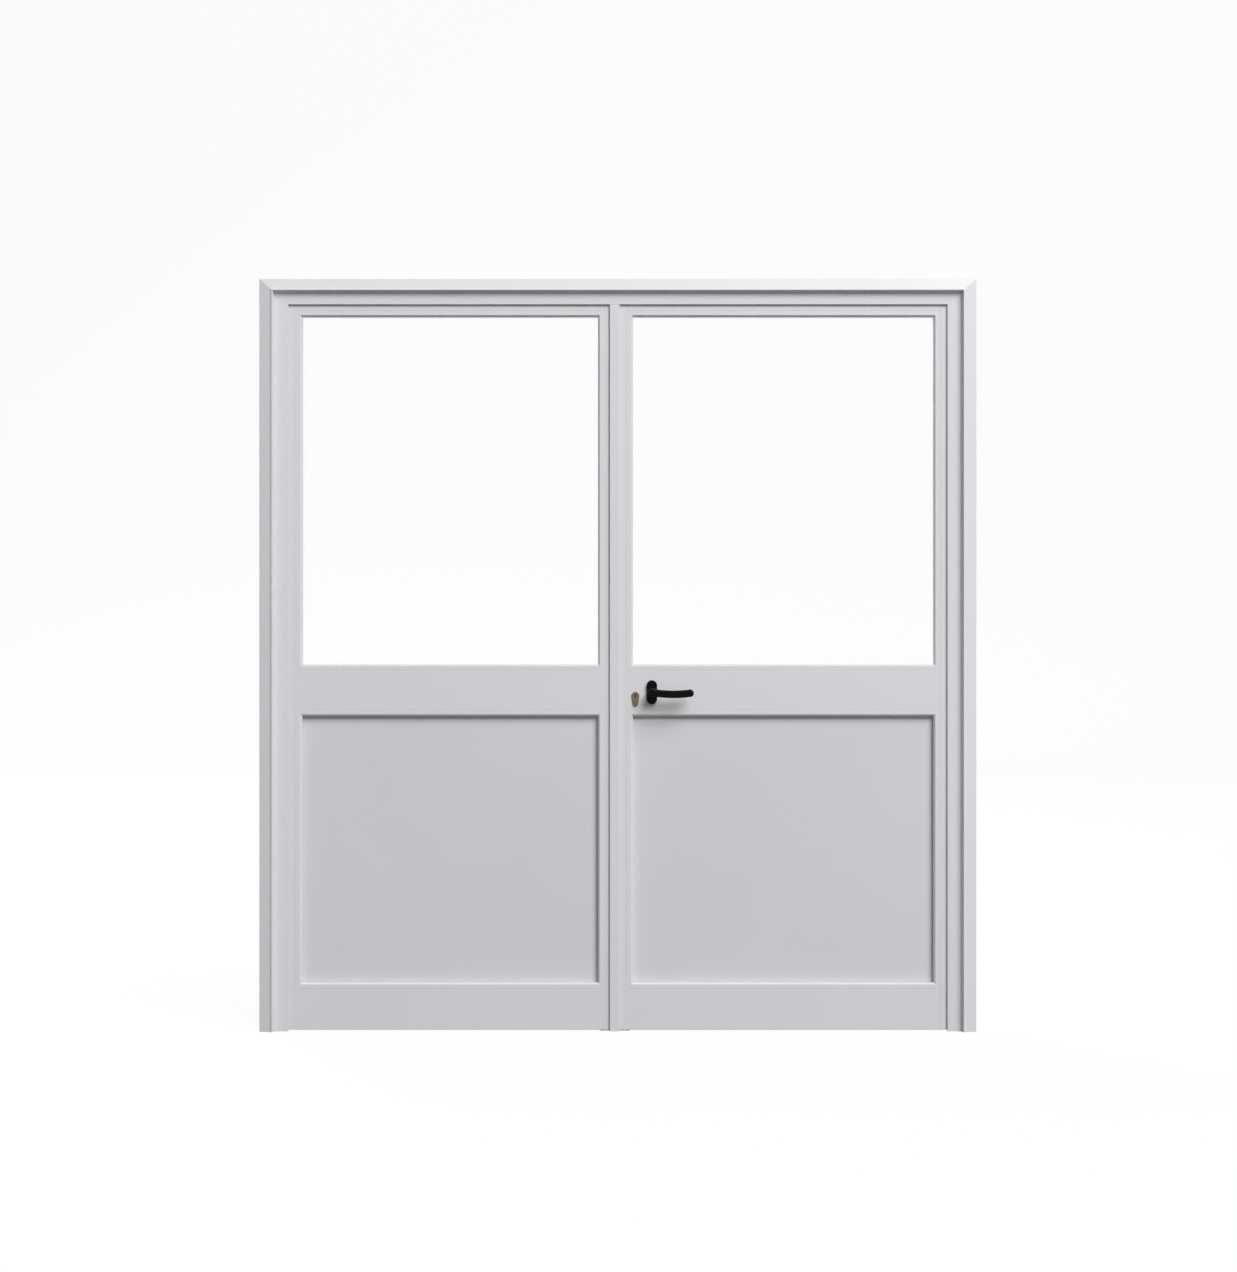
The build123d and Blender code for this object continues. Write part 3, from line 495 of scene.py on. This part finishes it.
@dataclass(frozen=True)
class GlassFinish:
    """Clear float glass with a faint smear of cleaning."""

    name: str
    colour: Colour
    refraction: float
    smear: float
    ripple_scale: float = 30.0
    smear_scale: float = 5.0

    def material(self, effects: Effects) -> bpy.types.Material:
        """Builds the finish. Light passes straight through to what lies behind the pane.

        Args:
            effects: The shared effect groups.

        Returns:
            The material.
        """
        sketch, shader, material = new_material(self.name)
        peel = effects.peel.use(sketch, Scale=self.ripple_scale, Drift_Scale=self.smear_scale)
        shader.inputs["Base Color"].default_value = rgba(self.colour)
        shader.inputs["IOR"].default_value = self.refraction
        shader.inputs["Transmission Weight"].default_value = 1.0
        smeared = sketch.span(peel.outputs["Drift"], *SMEAR_SPAN, 0.0, self.smear)
        sketch.feed(shader.inputs["Roughness"], smeared)
        passing = sketch.add("ShaderNodeBsdfTransparent", Color=rgba(self.colour))
        ray = sketch.add("ShaderNodeLightPath").outputs
        blocked = sketch.math("MAXIMUM", ray["Is Shadow Ray"], ray["Is Diffuse Ray"])
        choice = sketch.add("ShaderNodeMixShader")
        sketch.feed(choice.inputs[0], blocked)
        sketch.feed(choice.inputs[1], shader.outputs["BSDF"])
        sketch.feed(choice.inputs[2], passing.outputs["BSDF"])
        output = material.node_tree.nodes["Material Output"]
        sketch.feed(output.inputs["Surface"], choice.outputs[0])
        return material


FINISHES = (
    CoatFinish("white_coat", (0.69, 0.70, 0.72), (0.67, 0.68, 0.70),
               roughness=0.42, coat=0.15, peel_scale=520.0, peel_depth=0.00006),
    CoatFinish("panel_face", (0.645, 0.655, 0.675), (0.62, 0.63, 0.65),
               roughness=0.46, coat=0.10, peel_scale=620.0, peel_depth=0.00005),
    CoatFinish("hinge_coat", (0.66, 0.67, 0.69), (0.63, 0.64, 0.66),
               roughness=0.38, coat=0.20, peel_scale=700.0, peel_depth=0.00004),
    GlassFinish("clear_glass", (0.996, 1.0, 0.998), refraction=1.45, smear=0.03),
    MouldedFinish("grey_seal", (0.16, 0.165, 0.17), (0.22, 0.22, 0.225),
                  roughness=0.62, skin_scale=900.0, skin_depth=0.00008),
    MouldedFinish("block_plastic", (0.05, 0.05, 0.052), (0.10, 0.10, 0.10),
                  roughness=0.5, skin_scale=800.0, skin_depth=0.00006),
    MouldedFinish("lever_black", (0.0025, 0.0025, 0.003), (0.008, 0.008, 0.009),
                  roughness=0.36, skin_scale=1100.0, skin_depth=0.00004,
                  rub_reach=0.0015, dust_amount=0.01, specular=0.06),
    MetalFinish("mill_aluminium", (0.70, 0.71, 0.72), (0.58, 0.59, 0.60), (0.82, 0.82, 0.83),
                roughness=0.36, grain=Grain.ACROSS),
    MetalFinish("zinc_steel", (0.56, 0.57, 0.58), (0.44, 0.45, 0.46), (0.74, 0.74, 0.74),
                roughness=0.34, grain=Grain.UPRIGHT),
    MetalFinish("lock_brass", (0.175, 0.138, 0.104), (0.135, 0.105, 0.078), (0.29, 0.24, 0.19),
                roughness=0.38, grain=Grain.UPRIGHT),
)


def dress_nodes(materials: Materials) -> None:
    """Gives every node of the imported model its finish.

    Args:
        materials: The finishes' materials, by name.
    """
    for name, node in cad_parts.items():
        for place in node.material_slots:
            finish = place.material.name.split(".")[0]
            place.material = materials[finish]
        log.info("%s: %s", name, ", ".join(place.material.name for place in node.material_slots))


def hang_piece(name: str, mesh: bpy.types.Mesh, body: Body, finish: str,
               materials: Materials) -> None:
    """Makes a mesh a dressed piece that rides on its body.

    Args:
        name: The piece's name.
        mesh: Its mesh, in place.
        body: The body that it rides on.
        finish: The name of its finish.
        materials: The finishes' materials, by name.
    """
    mesh.materials.append(materials[finish])
    obj = bpy.data.objects.new(name, mesh)
    bpy.context.scene.collection.objects.link(obj)
    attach(obj, body.value)
    log.info("%s: %s on %s", name, finish, body.value)


@dataclass
class ScrewTree:
    """Geometry nodes that set a cross-recessed screw head on every point of a mesh."""

    sides: int = 24
    crown_share: float = 0.78
    spin_seed: int = 7
    tree: bpy.types.NodeTree = field(init=False)

    def __post_init__(self) -> None:
        """Builds the tree: one head, cut by its recess, set on the points and made real."""
        self.tree = bpy.data.node_groups.new("Screw Heads", "GeometryNodeTree")
        face = self.tree.interface
        face.new_socket("Geometry", in_out="INPUT", socket_type="NodeSocketGeometry")
        for label in ("Head Radius", "Head Height", "Recess Length", "Recess Width"):
            face.new_socket(label, in_out="INPUT", socket_type="NodeSocketFloat")
        face.new_socket("Facing", in_out="INPUT", socket_type="NodeSocketVector")
        face.new_socket("Finish", in_out="INPUT", socket_type="NodeSocketMaterial")
        face.new_socket("Geometry", in_out="OUTPUT", socket_type="NodeSocketGeometry")
        sketch = NodeSketch(self.tree)
        given = sketch.add("NodeGroupInput").outputs
        crown = sketch.math("MULTIPLY", given["Head Radius"], self.crown_share)
        head = sketch.add("GeometryNodeMeshCone", Vertices=self.sides, Radius_Top=crown,
                          Radius_Bottom=given["Head Radius"], Depth=given["Head Height"])
        cut = sketch.add("GeometryNodeMeshBoolean")
        cut.operation = "DIFFERENCE"
        sketch.feed(cut.inputs["Mesh 1"], head.outputs["Mesh"])
        sketch.feed(cut.inputs["Mesh 2"], self.recess(sketch, given))
        spin = sketch.add("FunctionNodeRandomValue", Seed=self.spin_seed)
        sketch.feed(spin.inputs[RANDOM_MOST], math.tau)
        spun = sketch.add("FunctionNodeEulerToRotation")
        turned = sketch.add("ShaderNodeCombineXYZ", Z=spin.outputs[RANDOM_VALUE])
        sketch.feed(spun.inputs[0], turned.outputs[0])
        aimed = sketch.add("FunctionNodeEulerToRotation")
        sketch.feed(aimed.inputs[0], given["Facing"])
        both = sketch.add("FunctionNodeRotateRotation", Rotation=aimed.outputs[0],
                          Rotate_By=spun.outputs[0])
        both.rotation_space = "LOCAL"
        placed = sketch.add("GeometryNodeInstanceOnPoints", Points=given["Geometry"],
                            Instance=cut.outputs["Mesh"], Rotation=both.outputs[0])
        real = sketch.add("GeometryNodeRealizeInstances", Geometry=placed.outputs[0])
        coloured = sketch.add("GeometryNodeSetMaterial", Geometry=real.outputs[0],
                              Material=given["Finish"])
        sketch.add("NodeGroupOutput", Geometry=coloured.outputs[0])

    def recess(self, sketch: NodeSketch, given: bpy.types.NodeOutputs) -> bpy.types.NodeSocket:
        """The cross that is cut into a head.

        Args:
            sketch: The tree's sketch.
            given: The tree's inputs.

        Returns:
            The cross as one geometry, centred on the head's top.
        """
        arms = sketch.add("GeometryNodeJoinGeometry")
        for length, width in (("Recess Length", "Recess Width"), ("Recess Width", "Recess Length")):
            size = sketch.add("ShaderNodeCombineXYZ", X=given[length], Y=given[width],
                              Z=given["Head Height"])
            bar = sketch.add("GeometryNodeMeshCube", Size=size.outputs[0])
            sketch.feed(arms.inputs[0], bar.outputs["Mesh"])
        lift = sketch.add("ShaderNodeCombineXYZ", Z=given["Head Height"])
        raised = sketch.add("GeometryNodeTransform", Geometry=arms.outputs[0],
                            Translation=lift.outputs[0])
        return raised.outputs[0]

    def set_heads(self, obj: bpy.types.Object, values: dict[str, object]) -> None:
        """Turns an object's points into screw heads, as a plain mesh.

        Args:
            obj: The object that holds the points.
            values: The tree's inputs, by name.
        """
        modifier = obj.modifiers.new("Screw Heads", "NODES")
        modifier.node_group = self.tree
        for item in self.tree.interface.items_tree:
            if item.in_out == "INPUT" and item.name in values:
                modifier[item.identifier] = values[item.name]
        seen = obj.evaluated_get(bpy.context.evaluated_depsgraph_get())
        heads = bpy.data.meshes.new_from_object(seen)
        obj.modifiers.remove(modifier)
        obj.data = heads


@dataclass
class ScrewSet:
    """Screws of one kind on one body."""

    name: str
    body: Body
    facing: Facing
    points: list[Point]
    finish: str = "zinc_steel"
    head_radius: float = 0.0042
    head_height: float = 0.0009
    recess_length_share: float = 1.15
    recess_width_share: float = 0.28

    def build(self, tree: ScrewTree, materials: Materials) -> None:
        """Makes the screws, as one piece, and hangs them on their body.

        Args:
            tree: The geometry nodes that make the heads.
            materials: The finishes' materials, by name.
        """
        mesh = bpy.data.meshes.new(self.name)
        mesh.from_pydata(self.points, [], [])
        obj = bpy.data.objects.new(self.name, mesh)
        bpy.context.scene.collection.objects.link(obj)
        tree.set_heads(obj, {
            "Head Radius": self.head_radius,
            "Head Height": self.head_height,
            "Recess Length": self.head_radius * self.recess_length_share,
            "Recess Width": self.head_radius * self.recess_width_share,
            "Facing": self.facing.value,
            "Finish": materials[self.finish],
        })
        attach(obj, self.body.value)
        log.info("%s: %d screws on %s", self.name, len(self.points), self.body.value)


def middle(node: str) -> Vector:
    """The middle of a node's box."""
    low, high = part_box(node)
    return (low + high) / 2


@dataclass
class HingeScrews:
    """Screws in the plates of all hinges, on the door's back."""

    first: float = 0.230
    spacing: float = 0.800
    count: int = 3
    screw_rise: float = 0.034
    plate_offset: float = 0.0165
    plate_wall: float = 0.003
    pin_head_radius: float = 0.005

    def points(self, side: int, depth: float, offset: float) -> list[Point]:
        """Where one row of plates has its screws.

        Args:
            side: -1 for the left hinges, 1 for the right ones.
            depth: Where the plates' faces lie.
            offset: How far outwards from the hinge axis the screws stand.

        Returns:
            The screws' places.
        """
        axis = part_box("hinge_pins")[1].x - self.pin_head_radius
        heights = [self.first + self.spacing * index for index in range(self.count)]
        return [
            (side * (axis + offset), depth, height + rise)
            for height in heights
            for rise in (-self.screw_rise, 0.0, self.screw_rise)
        ]

    def build(self, tree: ScrewTree, materials: Materials) -> None:
        """Makes the screws of the frame's plates and of both leaves' plates.

        Args:
            tree: The geometry nodes that make the heads.
            materials: The finishes' materials, by name.
        """
        frame_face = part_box("frame_jamb_left")[1].y + self.plate_wall
        leaf_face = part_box("left_hinge_stile")[1].y + self.plate_wall
        outer = self.plate_offset
        rows = [
            (Body.FRAME, self.points(-1, frame_face, outer) + self.points(1, frame_face, outer)),
            (Body.LEFT_LEAF, self.points(-1, leaf_face, -outer)),
            (Body.RIGHT_LEAF, self.points(1, leaf_face, -outer)),
        ]
        for body, places in rows:
            screws = ScrewSet(f"hinge_screws_{body.value}", body, Facing.BACK, places)
            screws.build(tree, materials)


@dataclass
class LockScrews:
    """Screws in the faceplate, the keep plate, the flush bolt plates and the post's plates."""

    faceplate_margin: float = 0.009
    keep_margin: float = 0.007
    flush_margin: float = 0.011
    flush_plate_height: float = 0.150
    post_plate_wall: float = 0.0025
    post_plate_spacing: float = 0.066
    flat_head: float = 0.0005

    def end_points(self, node: str, margin: float) -> list[Point]:
        """The two places near the ends of an upright plate's left face.

        Args:
            node: The plate's node.
            margin: How far the screws stand from the plate's ends.

        Returns:
            The lower and the upper place.
        """
        low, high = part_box(node)
        depth = (low.y + high.y) / 2
        return [(low.x, depth, low.z + margin), (low.x, depth, high.z - margin)]

    def flush_points(self) -> list[Point]:
        """Where both flush bolt plates have their screws.

        Returns:
            The places in the lower plate, then those in the upper one.
        """
        low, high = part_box("flush_plates")
        plate = self.flush_plate_height - self.flush_margin * 2
        heights = [low.z + self.flush_margin, high.z - self.flush_margin]
        return [
            (high.x, 0.0, height)
            for height in (heights[0], heights[0] + plate, heights[1] - plate, heights[1])
        ]

    def build(self, tree: ScrewTree, materials: Materials) -> None:
        """Makes all these screws.

        Args:
            tree: The geometry nodes that make the heads.
            materials: The finishes' materials, by name.
        """
        face = self.end_points("lock_faceplate", self.faceplate_margin)
        keep = self.end_points("bolt_keep", self.keep_margin)
        post = middle("post_plates")
        floor_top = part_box("post_plates")[0].z + self.post_plate_wall
        head_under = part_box("post_plates")[1].z - self.post_plate_wall
        half = self.post_plate_spacing / 2
        sets = [
            ScrewSet("faceplate_screws", Body.RIGHT_LEAF, Facing.LEFT, face),
            ScrewSet("keep_screws", Body.FRAME, Facing.LEFT, keep),
            ScrewSet("flush_plate_screws", Body.LEFT_LEAF, Facing.RIGHT, self.flush_points()),
            ScrewSet("post_floor_screws", Body.FRAME, Facing.UP,
                     [(post.x - half, post.y, floor_top), (post.x + half, post.y, floor_top)]),
            ScrewSet("post_head_screws", Body.FRAME, Facing.DOWN,
                     [(post.x - half, post.y, head_under), (post.x + half, post.y, head_under)]),
        ]
        for screws in sets:
            screws.head_height = self.flat_head
            screws.build(tree, materials)


@dataclass
class LeverTrim:
    """A turned collar where each lever's neck goes into its rose."""

    neck_radius: float = 0.0099
    collar_width: float = 0.0018
    collar_rise: float = 0.0016
    sides: int = 48
    steps: int = 8
    finish: str = "lever_black"

    def collar_mesh(self, name: str, face: float, outward: float) -> bpy.types.Mesh:
        """A half-round ring round the spindle's axis.

        Args:
            name: The mesh's name.
            face: Where the rose's face lies.
            outward: -1 at the front, 1 at the back.

        Returns:
            The ring as a closed mesh.
        """
        axis = middle("lever_spindle")
        shape = bmesh.new()
        rings = []
        for index in range(self.sides):
            turn = math.tau * index / self.sides
            ring = []
            for step in range(self.steps + 1):
                lean = math.pi * step / self.steps
                radius = self.neck_radius + self.collar_width * (1 - math.cos(lean)) / 2
                depth = face + outward * self.collar_rise * math.sin(lean)
                ring.append(shape.verts.new((axis.x + radius * math.cos(turn), depth,
                                             axis.z + radius * math.sin(turn))))
            rings.append(ring)
        for index, ring in enumerate(rings):
            after = rings[(index + 1) % self.sides]
            for step in range(self.steps):
                shape.faces.new((ring[step], ring[step + 1], after[step + 1], after[step]))
            shape.faces.new((ring[self.steps], ring[0], after[0], after[self.steps]))
        bmesh.ops.recalc_face_normals(shape, faces=shape.faces)
        for face_of_ring in shape.faces:
            face_of_ring.smooth = True
        mesh = bpy.data.meshes.new(name)
        shape.to_mesh(mesh)
        shape.free()
        return mesh

    def build(self, materials: Materials) -> None:
        """Makes both collars.

        Args:
            materials: The finishes' materials, by name.
        """
        low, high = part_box("lever_roses")
        ends = (("lever_collar_front", low.y, -1.0), ("lever_collar_back", high.y, 1.0))
        for name, face, outward in ends:
            mesh = self.collar_mesh(name, face, outward)
            hang_piece(name, mesh, Body.RIGHT_LEAF, self.finish, materials)


@dataclass
class KeywayPaintedShade:
    """A black plate just inside each end of the keyway: painted shade that stands in for the shade
    deep in the keyway.
    """

    width: float = 0.0033
    height: float = 0.0089
    setback: float = 0.0005
    thickness: float = 0.0010
    cylinder_radius: float = 0.0085
    finish: str = "lever_black"

    def build(self, materials: Materials) -> None:
        """Makes the front and the back plate of painted shade.

        Args:
            materials: The finishes' materials, by name.
        """
        low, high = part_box("cylinder_plug")
        across = middle("cylinder_body").x
        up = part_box("cylinder_body")[1].z - self.cylinder_radius
        inset = self.setback + self.thickness / 2
        size = (self.width, self.thickness, self.height)
        # Each plate is painted shade: a dark sheet set where the keyway has only shade.
        ends = (("keyway_painted_shade_front", low.y + inset), ("keyway_painted_shade_back", high.y - inset))
        for name, depth in ends:
            shape = bmesh.new()
            bmesh.ops.create_cube(shape, size=1.0)
            bmesh.ops.scale(shape, vec=size, verts=shape.verts)
            bmesh.ops.translate(shape, vec=(across, depth, up), verts=shape.verts)
            mesh = bpy.data.meshes.new(name)
            shape.to_mesh(mesh)
            shape.free()
            hang_piece(name, mesh, Body.PLUG, self.finish, materials)


@dataclass
class Studio:
    """The white sweep, the lamps and the camera."""

    sweep_half_width: float = 16.0
    sweep_front: float = -15.0
    sweep_back: float = 14.0
    sweep_height: float = 12.0
    sweep_radius: float = 2.0
    sweep_steps: int = 16
    sweep_matt: float = 0.9
    sweep_grey: float = 0.08
    sweep_white: float = 0.9
    white_share: float = 0.93
    key_place: Point = (8.08, -13.46, 13.48)
    key_size: float = 12.0
    key_power: float = 4450.0
    back_place: Point = (-6.0, 11.0, 9.5)
    back_size: float = 6.0
    back_power: float = 1900.0
    ambient: float = 0.2
    surround_white: float = 0.985
    aim: Point = (0.0, 0.0, 1.1)
    camera_place: Point = (0.0017, -7.44, 1.104)
    picture_plane: float = -0.0355
    picture_width: float = 3.450
    sensor: float = 36.0

    def seen_as_white(self, sketch: NodeSketch) -> bpy.types.NodeSocket:
        """Tells rays of the camera, of mirrors and through glass from those that light the door.

        Args:
            sketch: The node tree that asks.

        Returns:
            One for the rays that see white, otherwise zero.
        """
        ray = sketch.add("ShaderNodeLightPath").outputs
        seen = sketch.math("MAXIMUM", ray["Is Camera Ray"], ray["Is Glossy Ray"])
        return sketch.math("MAXIMUM", seen, ray["Is Transmission Ray"])

    def white_material(self) -> bpy.types.Material:
        """Matt white that the camera, mirrors and glass see as white, with a trace of shadow.

        Returns:
            The material.
        """
        sketch, shader, material = new_material("studio_white")
        shader.inputs["Roughness"].default_value = self.sweep_matt
        shine = sketch.add("ShaderNodeEmission", Color=rgba(WHITE), Strength=1.0)
        seen = self.seen_as_white(sketch)
        tone = sketch.mix(seen, rgba((self.sweep_grey,) * 3), rgba((self.sweep_white,) * 3))
        sketch.feed(shader.inputs["Base Color"], tone)
        share = sketch.math("MULTIPLY", seen, self.white_share)
        choice = sketch.add("ShaderNodeMixShader")
        sketch.feed(choice.inputs[0], share)
        sketch.feed(choice.inputs[1], shader.outputs["BSDF"])
        sketch.feed(choice.inputs[2], shine.outputs[0])
        output = material.node_tree.nodes["Material Output"]
        sketch.feed(output.inputs["Surface"], choice.outputs[0])
        return material

    def build_sweep(self) -> None:
        """Makes the floor and the backdrop as one curved sheet."""
        line = [(self.sweep_front, 0.0)]
        for step in range(self.sweep_steps + 1):
            turn = math.pi / 2 * step / self.sweep_steps
            line.append((self.sweep_back + self.sweep_radius * math.sin(turn),
                         self.sweep_radius * (1 - math.cos(turn))))
        line.append((self.sweep_back + self.sweep_radius, self.sweep_height))
        points = [(side * self.sweep_half_width, y, z) for y, z in line for side in (-1, 1)]
        faces = [(i, i + 1, i + 3, i + 2) for i in range(0, len(points) - 2, 2)]
        mesh = bpy.data.meshes.new("studio_sweep")
        mesh.from_pydata(points, [], faces)
        mesh.materials.append(self.white_material())
        for polygon in mesh.polygons:
            polygon.use_smooth = True
        sweep = bpy.data.objects.new("studio_sweep", mesh)
        bpy.context.scene.collection.objects.link(sweep)

    def hang_lamp(self, name: str, place: Point, size: float, power: float) -> None:
        """Hangs a soft square lamp that looks at the door's middle.

        Args:
            name: The lamp's name.
            place: Where it hangs.
            size: Its width and height.
            power: Its power in watts.
        """
        lamp = bpy.data.lights.new(name, "AREA")
        lamp.size = size
        lamp.energy = power
        holder = bpy.data.objects.new(name, lamp)
        holder.location = place
        look = Vector(self.aim) - holder.location
        holder.rotation_euler = look.to_track_quat("-Z", "Y").to_euler()
        bpy.context.scene.collection.objects.link(holder)

    def build_light(self) -> None:
        """Sets a large soft lamp at the upper right, a smaller one behind and a white surround."""
        self.hang_lamp("key_lamp", self.key_place, self.key_size, self.key_power)
        self.hang_lamp("back_lamp", self.back_place, self.back_size, self.back_power)
        world = bpy.data.worlds.new("studio_world")
        world.use_nodes = True
        bpy.context.scene.world = world
        sketch = NodeSketch(world.node_tree)
        seen = self.seen_as_white(sketch)
        surround = world.node_tree.nodes["Background"]
        strength = sketch.span(seen, 0.0, 1.0, self.ambient, self.surround_white)
        sketch.feed(surround.inputs["Strength"], strength)
        surround.inputs["Color"].default_value = rgba(WHITE)

    def build_camera(self) -> None:
        """Sets the camera straight in front, so that the picture's width covers its plane."""
        camera = bpy.data.cameras.new("camera")
        camera.sensor_fit = "HORIZONTAL"
        camera.sensor_width = self.sensor
        camera.lens = self.sensor * (self.picture_plane - self.camera_place[1]) / self.picture_width
        holder = bpy.data.objects.new("camera", camera)
        holder.location = self.camera_place
        holder.rotation_euler = (math.pi / 2, 0.0, 0.0)
        bpy.context.scene.collection.objects.link(holder)
        bpy.context.scene.camera = holder

    def build(self) -> None:
        """Makes the whole studio."""
        self.build_sweep()
        self.build_light()
        self.build_camera()
        bpy.context.scene.view_settings.view_transform = "Standard"


def main() -> None:
    """Builds the finishes, the fixings, the trim and the studio, in that order."""
    logging.basicConfig(level=logging.INFO, format="%(message)s")
    effects = Effects()
    materials = {finish.name: finish.material(effects) for finish in FINISHES}
    dress_nodes(materials)
    tree = ScrewTree()
    HingeScrews().build(tree, materials)
    LockScrews().build(tree, materials)
    LeverTrim().build(materials)
    # The black plates in the keyway are painted shade.
    KeywayPaintedShade().build(materials)
    Studio().build()


if __name__ == "__main__":
    main()
